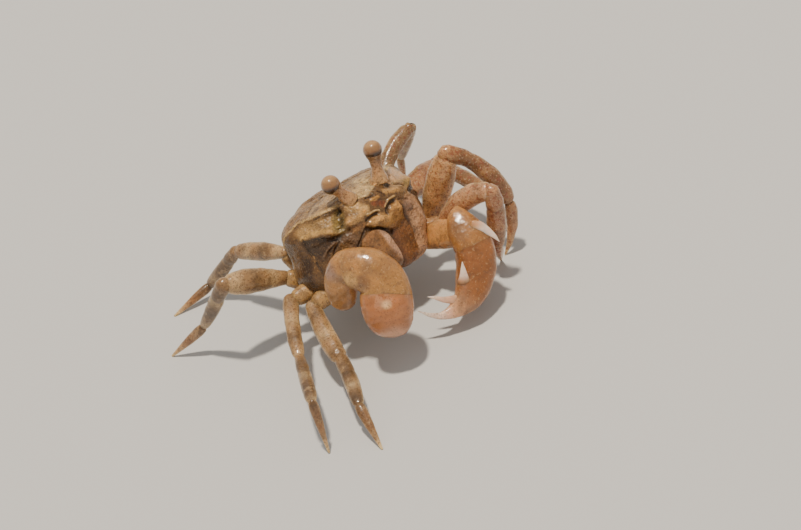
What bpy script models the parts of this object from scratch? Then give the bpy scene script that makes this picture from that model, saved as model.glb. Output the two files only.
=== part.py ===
"""A young ghost crab, standing nose up on its eight walking legs.

Sizes are in millimetres and angles in degrees, and a mesh is turned to metres when it
is made.  The body is shaped in its own level frame (nose towards -Y, the crab's left
towards +X, back towards +Z) and is then pitched and lifted onto its legs.  A heading
turns from straight out to the side towards the nose; a rise is up from level.
"""
import math

import bmesh
import bpy
from mathutils import Matrix, Vector

MM = 0.001

# ---------------------------------------------------------------- the body
HALF_WIDTH = 3.06
FRONT_REACH = 2.95
REAR_REACH = 2.12
TOP_REACH = 1.28
BELLY_REACH = 2.25
FLANK_DENT = 0.30         # how far the sides draw in behind the widest point
CHIN_DROP = 0.60          # how much deeper the belly is under the face
PLAN_POWER = 2.5          # squareness of the outline seen from above
BELLY_POWER = 4.0         # squareness of the belly
BACK_POWER = 3.2          # squareness of the back
BODY_HEIGHT = 4.07        # body centre above the floor
BODY_PITCH = 27.0         # nose up
BODY_ROLL = -2.5          # right side up
FACE_CUT = -1.05          # where the face meets the thorax
MOUTH_TURN = 6.0          # the mouth lies this far to the crab's left
SEAM = 0.04               # gap between neighbouring pieces
CORE = 0.05               # how far the shell and the belly stay off the body centre

FRONT_COLUMN = 6.0        # column spacing round the front half and the rear half
REAR_COLUMN = 11.25
SHELL_ROWS = (0, 0.05, 0.12, 0.22, 0.35, 0.50, 0.68, 0.85)
BELLY_ROWS = (0, 0.04, 0.09, 0.14, 0.20, 0.28, 0.37, 0.47, 0.58, 0.71, 0.86)

# ---------------------------------------------------------------- eyes and mouth
EYE_RADIUS = 0.41
# each eye is held at a height of its own
EYE_CENTRES = {"left": (1.35, -2.61, 2.19), "right": (-1.15, -2.53, 1.92)}
STALK_BASE = (16.0, 15.0)             # bearing and elevation on the body
STALK_HALVES = ((0, 0.33), (0.18, 0.27), (0.55, 0.22), (0.85, 0.25))
EYE_CUT = 0.50                        # height of the cut under the ball, in radii
ANTENNA_BASE = (30.0, 4.0)
ANTENNA_LENGTH = 0.62

# ---------------------------------------------------------------- walking legs
LEG_SIDES = 10
FOOT_HALF = 0.07
KNEE_TRIM = 0.50          # the carpus starts and ends this far from the knee's corner
KNEE_SHARPENS = 0.9       # and further where the knee is bent sharply
HIPS = ((2.05, -1.35, -2.15), (2.30, -0.45, -2.05), (2.40, 0.45, -1.75), (2.15, 1.30, -1.20))
# coxa with ischium, merus, carpus with propodus, dactyl
LEG_LENGTHS = ((1.20, 3.10, 3.00, 2.05), (1.25, 3.40, 3.60, 2.45),
               (1.20, 3.20, 3.30, 2.30), (1.10, 3.20, 2.80, 1.95))
# merus half height and half width, propodus half height, dactyl half height
LEG_HALVES = ((0.46, 0.32, 0.29, 0.21), (0.54, 0.34, 0.31, 0.22),
              (0.48, 0.32, 0.29, 0.21), (0.40, 0.29, 0.26, 0.20))
# heading and rise of the coxa, the merus and the shank, then the dactyl's heading
LEG_POSES = {
    "left": ((41, 10, 58, 34, 51, -98, -53), (10, 6, 40, 67, 51, -62, 140),
             (-18, 19, -25, -6, 92, -1, 73), (-16, 26, -20, 26, -78, -56, -83)),
    "right": ((-16, -14, 56, -17, 63, -10, 76), (-13, 8, 42, -14, 59, 8, 65),
              (-28, 25, -16, 25, -72, -56, -54), (-32, 48, -79, -9, -66, -50, -13)),
}

# ---------------------------------------------------------------- claws
CLAW_SIDES = 12
# length, heading and rise of each part; the carpus and the fingers are bent, so each has
# two stretches
CLAWS = {
    "right": dict(base=(-1.45, -1.85, -2.55), root=(1.57, 17, 5), merus=(1.47, -154, 85),
                  carpusRise=(1.52, 148, 29), carpusFall=(1.86, 66, -52), palm=(1.62, 32, -70),
                  fixed=((0.55, 32, -60), (1.15, -120, -23)),
                  moving=((0.50, 32, -60), (1.15, -130, -15)), merusHalf=0.66,
                  carpusHalf=0.93, palmHalf=1.14, palmThick=0.95, fingerHalf=0.42),
    "left": dict(base=(1.50, -1.85, -2.50), root=(0.68, 41, 8), merus=(1.28, 59, 34),
                 carpusRise=(1.09, 39, 10), carpusFall=(1.09, 123, -55), palm=(1.84, 161, -43),
                 fixed=((2.04, -172, -12), (1.36, -138, 35)),
                 moving=((1.01, -169, -8), (0.94, -149, 30)), merusHalf=0.54,
                 carpusHalf=0.64, palmHalf=0.84, palmThick=0.56, fingerHalf=0.30),
}

MATERIALS = {
    "carapace_tan": ((0.42, 0.33, 0.22), 0.35),
    "underside_grey": ((0.33, 0.28, 0.23), 0.40),
    "mouth_brown": ((0.25, 0.12, 0.07), 0.35),
    "limb_straw": ((0.55, 0.45, 0.30), 0.32),
    "claw_peach": ((0.72, 0.55, 0.42), 0.30),
    "stalk_pink": ((0.60, 0.46, 0.36), 0.30),
    "eye_dark": ((0.10, 0.08, 0.06), 0.10),
}


def clearScene():
    for thing in list(bpy.data.objects):
        bpy.data.objects.remove(thing, do_unlink=True)


def makeMaterial(name):
    colour, roughness = MATERIALS[name]
    material = bpy.data.materials.get(name)
    if material is None:
        material = bpy.data.materials.new(name)
        material.use_nodes = True
        shader = material.node_tree.nodes["Principled BSDF"]
        shader.inputs["Base Color"].default_value = (*colour, 1.0)
        shader.inputs["Roughness"].default_value = roughness
        shader.inputs["Metallic"].default_value = 0.0
    return material


def finishNode(name, bm, materialName):
    """Turn a mesh in millimetres into one closed, outward facing node in metres."""
    bmesh.ops.recalc_face_normals(bm, faces=bm.faces[:])
    bmesh.ops.triangulate(bm, faces=bm.faces[:])
    bmesh.ops.scale(bm, vec=(MM, MM, MM), verts=bm.verts[:])
    mesh = bpy.data.meshes.new(name)
    bm.to_mesh(mesh)
    bm.free()
    mesh.shade_smooth()
    mesh.set_sharp_from_angle(angle=math.radians(50))
    mesh.materials.append(makeMaterial(materialName))
    node = bpy.data.objects.new(name, mesh)
    bpy.context.scene.collection.objects.link(node)
    return node


# ---------------------------------------------------------------- the body's form
def bodyPlacement():
    turn = Matrix.Rotation(math.radians(-BODY_ROLL), 4, "Y")
    pitch = Matrix.Rotation(math.radians(-BODY_PITCH), 4, "X")
    return Matrix.Translation((0, 0, BODY_HEIGHT)) @ turn @ pitch


PLACE = bodyPlacement()
UNPLACE = PLACE.inverted()


def patch(bearing, elevation, bearing0, elevation0, bearingHalf, elevationHalf):
    """1 inside a soft-edged oval of bearings and elevations, 0 well outside it."""
    return math.exp(-((bearing - bearing0) / bearingHalf) ** 4
                    - ((elevation - elevation0) / elevationHalf) ** 4)


def bodyRadius(direction):
    """Distance from the body centre to its surface along a unit direction."""
    x, y, z = direction
    bearing = math.degrees(math.atan2(x, -y))
    elevation = math.degrees(math.atan2(z, math.hypot(x, y)))
    length = FRONT_REACH if y < 0 else REAR_REACH
    if z > 0:
        height, power = TOP_REACH, BACK_POWER
    else:
        height, power = BELLY_REACH + CHIN_DROP * max(0.0, -y), BELLY_POWER
    plan = (abs(x / HALF_WIDTH) ** PLAN_POWER + abs(y / length) ** PLAN_POWER)
    radius = (plan ** (power / PLAN_POWER) + abs(z / height) ** power) ** (-1 / power)
    side = abs(bearing)
    radius += 0.14 * patch(side, elevation, 83, 11, 8, 5)        # exorbital tooth
    radius -= 0.32 * patch(side, elevation, 44, 13, 24, 6)       # orbit
    radius += 0.12 * patch(side, elevation, 46, 3, 24, 4)        # ledge under the orbit
    radius -= 0.45 * patch(bearing, elevation, MOUTH_TURN, -31, 24, 18)   # mouth field
    radius -= 0.16 * patch(side, elevation, 180, -52, 24, 26)    # groove for the abdomen
    flank = math.exp(-((side - 122) / 23) ** 4) * math.cos(math.radians(elevation)) ** 2
    radius -= FLANK_DENT * flank                                 # drawn in behind
    return radius


def aim(bearing, elevation):
    b, e = math.radians(bearing), math.radians(elevation)
    return Vector((math.sin(b) * math.cos(e), -math.cos(b) * math.cos(e), math.sin(e)))


def onBody(bearing, elevation, lift=0.0):
    direction = aim(bearing, elevation)
    return direction * (bodyRadius(direction) + lift)


def marginElevation(bearing):
    """Elevation of the edge where the carapace turns over onto the face and sides."""
    side = abs(bearing)
    marks = ((0, 15), (14, 18), (28, 20), (72, 20), (84, 12), (96, 2), (122, -8), (180, -14))
    for (b0, e0), (b1, e1) in zip(marks, marks[1:]):
        if side <= b1:
            share = (side - b0) / (b1 - b0)
            return e0 + (e1 - e0) * share
    return marks[-1][1]


def columns():
    front = [i * FRONT_COLUMN for i in range(int(90 / FRONT_COLUMN))]
    rear = [90 + i * REAR_COLUMN for i in range(int(90 / REAR_COLUMN) + 1)]
    half = front + rear
    return half + [-b for b in reversed(half[1:-1])]


def wedge(rows, poleElevation, trim, core):
    """Closed part of the body between the margin and one pole, fanned to the core."""
    bm = bmesh.new()
    bearings = columns()
    rings = []
    for t in rows:
        ring = []
        for bearing in bearings:
            start = marginElevation(bearing) + trim
            ring.append(bm.verts.new(onBody(bearing, start + (poleElevation - start) * t)))
        rings.append(ring)
    pole = bm.verts.new(onBody(0, poleElevation))
    centre = bm.verts.new((0, 0, core))
    count = len(bearings)
    for i in range(count):
        j = (i + 1) % count
        for lower, upper in zip(rings, rings[1:]):
            bm.faces.new((lower[i], lower[j], upper[j], upper[i]))
        bm.faces.new((rings[-1][i], rings[-1][j], pole))
        bm.faces.new((rings[0][j], rings[0][i], centre))
    return bm


def keepSide(bm, cut, keepFront):
    """Cut a closed mesh by a plane across the body and close the cut."""
    normal = Vector((0, 1, 0)) if keepFront else Vector((0, -1, 0))
    geometry = bm.verts[:] + bm.edges[:] + bm.faces[:]
    bmesh.ops.bisect_plane(bm, geom=geometry, plane_co=(0, cut, 0), plane_no=normal,
                           dist=1e-5, clear_outer=True)
    rim = [edge for edge in bm.edges if edge.is_boundary]
    bmesh.ops.holes_fill(bm, edges=rim, sides=0)
    return bm


def makeBody():
    trim = math.degrees(SEAM / HALF_WIDTH)
    shell = wedge(SHELL_ROWS, 90, trim / 2, CORE)
    face = keepSide(wedge(BELLY_ROWS, -90, -trim / 2, -CORE), FACE_CUT - SEAM / 2, True)
    thorax = keepSide(wedge(BELLY_ROWS, -90, -trim / 2, -CORE), FACE_CUT + SEAM / 2, False)
    for name, bm, finish in (("carapace", shell, "carapace_tan"),
                             ("face", face, "underside_grey"),
                             ("thorax", thorax, "underside_grey")):
        bmesh.ops.transform(bm, matrix=PLACE, verts=bm.verts[:])
        finishNode(name, bm, finish)


def makePlate(name, bearing, elevation, acrossHalf, alongHalf, tilt, thick, materialName,
              lift=SEAM, taper=0.0, around=16, rounds=(0.35, 0.65, 0.88, 1.0)):
    """A domed plate lying on the body: an oval patch of directions given a thickness."""
    middle = aim(bearing, elevation)
    across = middle.cross(Vector((0, 0, 1)))
    if across.length < 0.2:
        across = Vector((1, 0, 0))
    across.normalize()
    along = across.cross(middle).normalized()
    turn = Matrix.Rotation(math.radians(tilt), 3, middle)
    across, along = turn @ across, turn @ along
    bm = bmesh.new()

    def place(rho, angle, depth):
        v = math.sin(angle) * rho
        u = math.cos(angle) * rho * (1 - taper * v)
        direction = (middle + across * u * acrossHalf + along * v * alongHalf).normalized()
        return PLACE @ (direction * (bodyRadius(direction) + lift + depth))

    sheets = []
    for outer in (True, False):
        rings = []
        for rho in rounds:
            depth = thick * (0.25 + 0.75 * math.sqrt(max(0.0, 1 - rho ** 3))) if outer else 0.0
            angles = [2 * math.pi * k / around for k in range(around)]
            rings.append([bm.verts.new(place(rho, a, depth)) for a in angles])
        hub = bm.verts.new(place(0, 0, thick if outer else 0.0))
        sheets.append((hub, rings))
    for hub, rings in sheets:
        for k in range(around):
            m = (k + 1) % around
            bm.faces.new((hub, rings[0][k], rings[0][m]))
            for inner, wider in zip(rings, rings[1:]):
                bm.faces.new((inner[k], wider[k], wider[m], inner[m]))
    outerRim, innerRim = sheets[0][1][-1], sheets[1][1][-1]
    for k in range(around):
        m = (k + 1) % around
        bm.faces.new((outerRim[k], innerRim[k], innerRim[m], outerRim[m]))
    finishNode(name, bm, materialName)


# ---------------------------------------------------------------- tubes and limbs
def ringOf(centre, up, side, halfHeight, halfWidth, count):
    points = []
    for k in range(count):
        a = 2 * math.pi * k / count
        points.append(centre + up * (math.cos(a) * halfHeight) + side * (math.sin(a) * halfWidth))
    return points


def loft(name, rings, materialName):
    """Skin a row of rings with the same number of points and close both ends."""
    bm = bmesh.new()
    rows = [[bm.verts.new(p) for p in ring] for ring in rings]
    count = len(rows[0])
    for first, second in zip(rows, rows[1:]):
        for k in range(count):
            m = (k + 1) % count
            bm.faces.new((first[k], first[m], second[m], second[k]))
    for row, ring in ((rows[0], rings[0]), (rows[-1], rings[-1])):
        hub = bm.verts.new(sum(ring, Vector()) / count)
        for k in range(count):
            bm.faces.new((hub, row[k], row[(k + 1) % count]))
    return finishNode(name, bm, materialName)


def heading(side, turn, rise):
    """Unit direction, and the up and side directions that go with it."""
    h, r = math.radians(turn), math.radians(rise)
    level = Vector((side * math.cos(h), -math.sin(h), 0))
    along = level * math.cos(r) + Vector((0, 0, math.sin(r)))
    up = level * -math.sin(r) + Vector((0, 0, math.cos(r)))
    return along, up, along.cross(up)


def stretch(start, end, up, profile, count, startNormal=None, endNormal=None):
    """Rings from start to end, leaning towards the mitre plane at either end."""
    axis = (end - start)
    length = axis.length
    axis.normalize()
    side = axis.cross(up).normalized()
    up = side.cross(axis)
    rings = []
    for t, halfHeight, halfWidth in profile:
        centre = start + axis * (length * t)
        ring = ringOf(centre, up, side, halfHeight, halfWidth, count)
        for normal, weight in ((startNormal, 1 - t / 0.4), (endNormal, 1 - (1 - t) / 0.4)):
            if normal is not None and weight > 0:
                lean = axis.dot(normal)
                ring = [p + axis * (weight * (centre - p).dot(normal) / lean) for p in ring]
        rings.append(ring)
    return rings


def seatPoint(point, onlyOut=False):
    """Move a point from the body centre onto the seat that covers the body's surface."""
    q = UNPLACE @ point
    share = (bodyRadius(q.normalized()) + SEAM * 1.2) / q.length
    return PLACE @ (q * (max(1.0, share) if onlyOut else share))


def seatRing(ring):
    return [seatPoint(point) for point in ring]


def clearRing(ring):
    return [seatPoint(point, True) for point in ring]


def miter(first, second):
    return (first + second).normalized()


def rootRings(hip, aim0, up0, length, aim1, halfHeight, halfWidth, count):
    """Coxa and ischium: seated on the body, swollen, and turned into the next segment."""
    side = aim0.cross(up0).normalized()
    up = side.cross(aim0)
    foot = PLACE @ hip
    rings = [seatRing(ringOf(foot, up, side, halfHeight * 0.90, halfWidth, count))]
    base = sum(rings[0], Vector()) / count
    elbow = foot + aim0 * length
    for t, scale in ((0.40, 1.0), (0.60, 0.90)):
        centre = base.lerp(elbow, t)
        ring = ringOf(centre, up, side, halfHeight * scale, halfWidth * scale, count)
        rings.append(clearRing(ring))
    turn = miter(aim0, aim1)
    side = turn.cross(up0).normalized()
    ring = ringOf(elbow, side.cross(turn), side, halfHeight * 0.95, halfWidth, count)
    rings.append(clearRing(ring))
    return rings, elbow


def makeLeg(sideName, number):
    side = 1 if sideName == "left" else -1
    hip = Vector(HIPS[number])
    hip.x *= side
    coxaLength, merusLength, shankLength, dactylLength = LEG_LENGTHS[number]
    high, wide, shin, claw = LEG_HALVES[number]
    turnR, riseR, turnM, riseM, turnS, riseS, turnD = LEG_POSES[sideName][number]
    alongR, upR, _ = heading(side, turnR, riseR)
    alongM, upM, _ = heading(side, turnM, riseM)
    alongS, upS, _ = heading(side, turnS, riseS)
    start = PLACE @ hip + alongR * coxaLength
    knee = start + alongM * merusLength
    wrist = knee + alongS * shankLength
    drop = math.degrees(math.asin(min(1.0, wrist.z / dactylLength)))
    alongD, upD, _ = heading(side, turnD, -drop)
    foot = wrist + alongD * (wrist.z / math.sin(math.radians(drop)))
    sharpness = (1 - alongM.dot(alongS)) / 2
    trim = KNEE_TRIM * (1 + KNEE_SHARPENS * sharpness)
    trimA, trimB = knee - alongM * trim, knee + alongS * trim
    alongC = (trimB - trimA).normalized()
    upC = (upM + upS).normalized()
    planeA, planeB, planeC = miter(alongM, alongC), miter(alongC, alongS), miter(alongS, alongD)
    gap = SEAM / 2
    label = f"leg_{sideName}_{number + 1}"
    n = LEG_SIDES
    root, rootEnd = rootRings(hip, alongR, upR, coxaLength, alongM, high * 0.74, wide, n)
    merus = stretch(rootEnd, trimA - alongM * gap, upM,
                    ((0.16, high * 0.92, wide * 0.95), (0.36, high, wide),
                     (0.70, high * 0.94, wide), (0.92, high * 0.78, wide * 0.95),
                     (1.0, high * 0.66, wide * 0.86)), n, None, planeA)
    loft(f"{label}_merus", root + [clearRing(ring) for ring in merus], "limb_straw")
    loft(f"{label}_carpus",
         stretch(trimA + alongC * gap, trimB - alongC * gap, upC,
                 ((0, high * 0.64, wide * 0.84), (0.5, high * 0.74, wide * 0.90),
                  (1.0, shin * 1.05, wide * 0.80)), n, planeA, planeB), "limb_straw")
    loft(f"{label}_propodus",
         stretch(trimB + alongS * gap, wrist - alongS * gap, upS,
                 ((0, shin * 1.0, wide * 0.78), (0.30, shin * 1.12, wide * 0.80),
                  (0.75, shin * 0.92, wide * 0.70), (1.0, shin * 0.80, wide * 0.62)),
                 n, planeB, planeC), "limb_straw")
    loft(f"{label}_dactyl",
         stretch(wrist + alongD * gap, foot, upD,
                 ((0, claw * 1.05, wide * 0.58), (0.30, claw, wide * 0.54),
                  (0.70, claw * 0.66, wide * 0.38), (1.0, FOOT_HALF, FOOT_HALF)),
                 n, planeC, Vector((0, 0, -1))), "limb_straw")


def makeClaw(sideName):
    """Cheliped: merus, bent carpus, palm with its fixed finger, and the moving finger."""
    c = CLAWS[sideName]
    side = 1 if sideName == "left" else -1
    base = Vector(c["base"])
    gap = SEAM / 2
    n = CLAW_SIDES
    points, alongs, ups = [PLACE @ base], [], []
    for part in ("root", "merus", "carpusRise", "carpusFall", "palm"):
        length, turn, rise = c[part]
        along, up, _ = heading(side, turn, rise)
        points.append(points[-1] + along * length)
        alongs.append(along)
        ups.append(up)
    planeA, planeB = miter(alongs[1], alongs[2]), miter(alongs[3], alongs[4])
    m, k = c["merusHalf"], c["carpusHalf"]
    root, rootEnd = rootRings(base, alongs[0], ups[0], c["root"][0], alongs[1], m * 0.8,
                              m * 0.8, n)
    merus = stretch(rootEnd, points[2] - alongs[1] * gap, ups[1],
                    ((0.44, m, m), (0.66, m * 1.02, m), (0.86, m * 0.85, m * 0.85),
                     (1.0, m * 0.50, m * 0.50)), n, None, planeA)
    loft(f"claw_{sideName}_merus", root + [clearRing(ring) for ring in merus], "claw_peach")
    carpus = bentRings(points[2] + alongs[2] * gap, points[3], points[4] - alongs[3] * gap,
                       ups[2], ((0, m * 0.48), (0.16, k * 0.82), (0.38, k), (0.60, k * 1.03),
                                (0.82, k), (1.0, k * 0.92)), n, planeA, planeB)
    loft(f"claw_{sideName}_carpus", carpus, "claw_peach")
    # palm: its broad side lies in the plane of the fingers
    palmAlong = alongs[4]
    fingerAim, _, _ = heading(side, *c["fixed"][1][1:])
    toDactyl = (fingerAim - palmAlong * fingerAim.dot(palmAlong)).normalized()
    across = palmAlong.cross(toDactyl)
    p, thick, f = c["palmHalf"], c["palmThick"], c["fingerHalf"]
    palm = stretch(points[4] + palmAlong * gap, points[5], toDactyl,
                   ((0, k * 0.92, k * 0.88), (0.30, p, thick), (0.66, p * 0.98, thick),
                    (0.90, p * 0.88, thick * 0.80), (1.0, p * 0.74, thick * 0.60)),
                   n, planeB, None)
    fixedRoot = points[5] - toDactyl * (p * 0.36) + palmAlong * gap
    movingRoot = points[5] + toDactyl * (p * 0.56) + palmAlong * (SEAM * 1.6)
    fixed = fingerRings(fixedRoot, side, c["fixed"], across, f, n, 1.25)
    loft(f"claw_{sideName}_palm", palm + fixed, "claw_peach")
    moving = fingerRings(movingRoot, side, c["moving"], across, f * 0.90, n, 0.9)
    moving = [[aheadOf(q, points[5] + palmAlong * (SEAM * 1.6), palmAlong) for q in ring]
              for ring in moving]
    loft(f"claw_{sideName}_dactyl", moving, "claw_peach")


def bentRings(start, corner, end, up, profile, count, startNormal, endNormal):
    """Round rings along a curve that leaves start towards a corner and bends to end."""
    rings = []
    for t, half in profile:
        centre = start * (1 - t) ** 2 + corner * (2 * t * (1 - t)) + end * t ** 2
        tangent = ((corner - start) * (1 - t) + (end - corner) * t).normalized()
        side = tangent.cross(up).normalized()
        ring = ringOf(centre, side.cross(tangent), side, half, half, count)
        for normal, weight in ((startNormal, 1 - t / 0.3), (endNormal, 1 - (1 - t) / 0.3)):
            if weight > 0:
                lean = tangent.dot(normal)
                ring = [p + tangent * (weight * (centre - p).dot(normal) / lean) for p in ring]
        up = side.cross(tangent)
        rings.append(ring)
    return rings


def aheadOf(point, origin, normal):
    """Move a point that lies behind a plane onto it."""
    return point - normal * min(0.0, (point - origin).dot(normal))


def fingerRings(root, side, stretches, across, half, count, rootScale):
    """A finger that curves from its root along one stretch and then the next."""
    (length0, turn0, rise0), (length1, turn1, rise1) = stretches
    corner = root + heading(side, turn0, rise0)[0] * length0
    tip = corner + heading(side, turn1, rise1)[0] * length1
    rings = []
    for t, scale in ((0, rootScale), (0.25, 1.0), (0.5, 0.78), (0.75, 0.5), (1.0, 0.16)):
        centre = root * (1 - t) ** 2 + corner * (2 * t * (1 - t)) + tip * t ** 2
        tangent = ((corner - root) * (1 - t) + (tip - corner) * t).normalized()
        up = across.cross(tangent).normalized()
        rings.append(ringOf(centre, up, tangent.cross(up), half * scale, half * scale * 0.85,
                            count))
    return rings


def makeEye(sideName):
    side = 1 if sideName == "left" else -1
    bearing, elevation = STALK_BASE
    foot = PLACE @ onBody(side * bearing, elevation, SEAM)
    centre = PLACE @ Vector(EYE_CENTRES[sideName])
    axis = (centre - foot).normalized()
    cut = centre - axis * (EYE_RADIUS * EYE_CUT)
    rim = EYE_RADIUS * math.sqrt(1 - EYE_CUT ** 2)
    profile = [(t, half, half) for t, half in STALK_HALVES] + [(1.0, rim * 0.97, rim * 0.97)]
    rings = stretch(foot, cut - axis * SEAM, Vector((0, 1, 0)), profile, 12)
    rings = [seatRing(rings[0])] + [clearRing(ring) for ring in rings[1:]]
    loft(f"eyestalk_{sideName}", rings, "stalk_pink")
    ball = []
    steps = 7
    start = -math.asin(EYE_CUT)
    for i in range(steps):
        a = start + (math.pi / 2 - start) * i / steps
        ball.append((centre + axis * (EYE_RADIUS * math.sin(a)), EYE_RADIUS * math.cos(a)))
    sideways = axis.cross(Vector((0, 1, 0))).normalized()
    up = sideways.cross(axis)
    eyeRings = [ringOf(c, up, sideways, r, r, 14) for c, r in ball]
    loft(f"eye_{sideName}", eyeRings, "eye_dark")


def makeAntenna(sideName):
    side = 1 if sideName == "left" else -1
    bearing, elevation = ANTENNA_BASE
    foot = PLACE @ onBody(side * bearing, elevation, SEAM)
    tipWay = onBody(side * (bearing + 10), elevation - 2, 0.5) - onBody(side * bearing, elevation)
    axis = (PLACE.to_3x3() @ tipWay).normalized()
    rings = stretch(foot, foot + axis * ANTENNA_LENGTH, Vector((0, 0, 1)),
                    ((0, 0.25, 0.25), (0.5, 0.24, 0.24), (0.85, 0.18, 0.18), (1.0, 0.09, 0.09)), 10)
    rings = [seatRing(rings[0])] + [clearRing(ring) for ring in rings[1:]]
    loft(f"antenna_{sideName}", rings, "stalk_pink")


def centreModel():
    """Bring the middle of the bounding box's underside to the origin."""
    meshes = [node.data for node in bpy.context.scene.objects]
    places = [vertex.co for mesh in meshes for vertex in mesh.vertices]
    low = [min(p[axis] for p in places) for axis in range(3)]
    high = [max(p[axis] for p in places) for axis in range(3)]
    middle = Vector(((low[0] + high[0]) / 2, (low[1] + high[1]) / 2, low[2]))
    for mesh in meshes:
        mesh.transform(Matrix.Translation(-middle))


clearScene()
makeBody()
makePlate("mouth", MOUTH_TURN, -31, 0.30, 0.28, 0, 0.10, "mouth_brown", around=18)
for sideName, sign in (("left", 1), ("right", -1)):
    makePlate(f"maxilliped_{sideName}", MOUTH_TURN + sign * 11.5, -29, 0.165, 0.31, sign * 8,
              0.20, "underside_grey", lift=0.17)
    makeEye(sideName)
    makeAntenna(sideName)
    makeClaw(sideName)
    for number in range(4):
        makeLeg(sideName, number)
makePlate("abdomen", 180, -52, 0.30, 0.44, 0, 0.22, "underside_grey", taper=0.45)
centreModel()
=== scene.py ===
import math

import bpy
import numpy as np
from mathutils import Matrix, Vector, noise


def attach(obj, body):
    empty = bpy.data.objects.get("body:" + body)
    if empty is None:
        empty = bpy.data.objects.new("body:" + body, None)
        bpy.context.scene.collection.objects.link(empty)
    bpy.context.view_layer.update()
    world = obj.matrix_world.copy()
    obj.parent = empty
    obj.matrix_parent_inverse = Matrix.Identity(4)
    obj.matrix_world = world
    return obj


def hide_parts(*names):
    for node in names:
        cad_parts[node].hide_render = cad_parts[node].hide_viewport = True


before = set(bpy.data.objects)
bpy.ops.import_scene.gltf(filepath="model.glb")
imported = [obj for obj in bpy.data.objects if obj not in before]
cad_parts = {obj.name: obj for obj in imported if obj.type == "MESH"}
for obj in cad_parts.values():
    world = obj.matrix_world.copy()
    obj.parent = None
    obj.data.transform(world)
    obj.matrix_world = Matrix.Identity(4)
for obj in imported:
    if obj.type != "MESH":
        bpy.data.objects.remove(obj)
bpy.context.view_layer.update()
print("frame loaded")

mm = 0.001
stance = dict(shift=(0.8196, 1.2414, 0.0), height=4.07, pitch=27.0, roll=-2.5)
bodyToFloor = (Matrix.Translation((0, 0, stance["height"]))
               @ Matrix.Rotation(math.radians(-stance["roll"]), 4, "Y")
               @ Matrix.Rotation(math.radians(-stance["pitch"]), 4, "X"))
floorToRow = Matrix.Scale(mm, 4) @ Matrix.Translation(stance["shift"])
bodyToRow = floorToRow @ bodyToFloor


def onFloor(point):
    return bodyToFloor @ Vector(point)


def paint(colour):
    # a colour as it looks on a screen, turned to scene light
    return tuple(c / 12.92 if c <= 0.04045 else ((c + 0.055) / 1.055) ** 2.4 for c in colour)


def smooth(value, low, high):
    t = np.clip((value - low) / (high - low), 0, 1)
    return t * t * (3 - 2 * t)


def within(value, low, lowFull, highFull, high):
    # 1 between the inner two, eased to 0 at the outer two
    return smooth(value, low, lowFull) * (1 - smooth(value, highFull, high))


def ridge(value, at, half):
    return np.exp(-((value - at) / half) ** 2)


def unit(rows):
    return rows / np.linalg.norm(rows, axis=1)[:, None]


def feed(tree, node, inputs):
    # each input gets a value or another node's output
    for key, value in inputs.items():
        if isinstance(value, bpy.types.NodeSocket):
            tree.links.new(value, node.inputs[key])
        else:
            node.inputs[key].default_value = value
    return node


def addNode(tree, kind, inputs, **settings):
    node = tree.nodes.new("ShaderNode" + kind)
    for key, value in settings.items():
        setattr(node, key, value)
    return feed(tree, node, inputs)


def reckon(tree, operation, first, second):
    return addNode(tree, "Math", {0: first, 1: second}, operation=operation).outputs[0]


# shader groups shared by the materials
def newGroup(name, output, **inputs):
    group = bpy.data.node_groups.new(name, "ShaderNodeTree")
    group.interface.new_socket("Vector", in_out="INPUT", socket_type="NodeSocketVector")
    for label, value in inputs.items():
        socket = group.interface.new_socket(label, in_out="INPUT", socket_type="NodeSocketFloat")
        socket.default_value = value
    group.interface.new_socket(output, in_out="OUTPUT", socket_type="NodeSocketFloat")
    return group, group.nodes.new("NodeGroupInput").outputs, group.nodes.new("NodeGroupOutput").inputs


def speckleGroup():
    # soft blotches: 1 inside a blotch, 0 outside
    group, given, result = newGroup("speckles", "Mask", Scale=2000.0, Cover=0.6, Softness=0.08)
    blotches = addNode(group, "TexNoise", {"Vector": given["Vector"], "Scale": given["Scale"],
                                           "Detail": 3.0, "Roughness": 0.6})
    upper = reckon(group, "ADD", given["Cover"], given["Softness"])
    ramp = addNode(group, "MapRange", {"Value": blotches.outputs["Fac"], "From Min": given["Cover"],
                                       "From Max": upper}, interpolation_type="SMOOTHSTEP")
    group.links.new(ramp.outputs["Result"], result["Mask"])
    return group


def grainGroup():
    # fine granules and pits over slower waves, as a height
    group, given, result = newGroup("shellGrain", "Height", Scale=8000.0, Waves=0.5)
    slower = reckon(group, "MULTIPLY", given["Scale"], 0.22)
    granules = addNode(group, "TexVoronoi", {"Vector": given["Vector"], "Scale": given["Scale"]},
                       feature="SMOOTH_F1")
    waves = addNode(group, "TexNoise", {"Vector": given["Vector"], "Scale": slower, "Detail": 2.0})
    weighed = reckon(group, "MULTIPLY", waves.outputs["Fac"], given["Waves"])
    height = reckon(group, "SUBTRACT", weighed, granules.outputs["Distance"])
    group.links.new(height, result["Height"])
    return group


speckles = speckleGroup()
shellGrain = grainGroup()
wetFilm = dict(rippleShare=0.8, patchScale=900.0, smoother=0.08, rougher=0.12)


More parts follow.
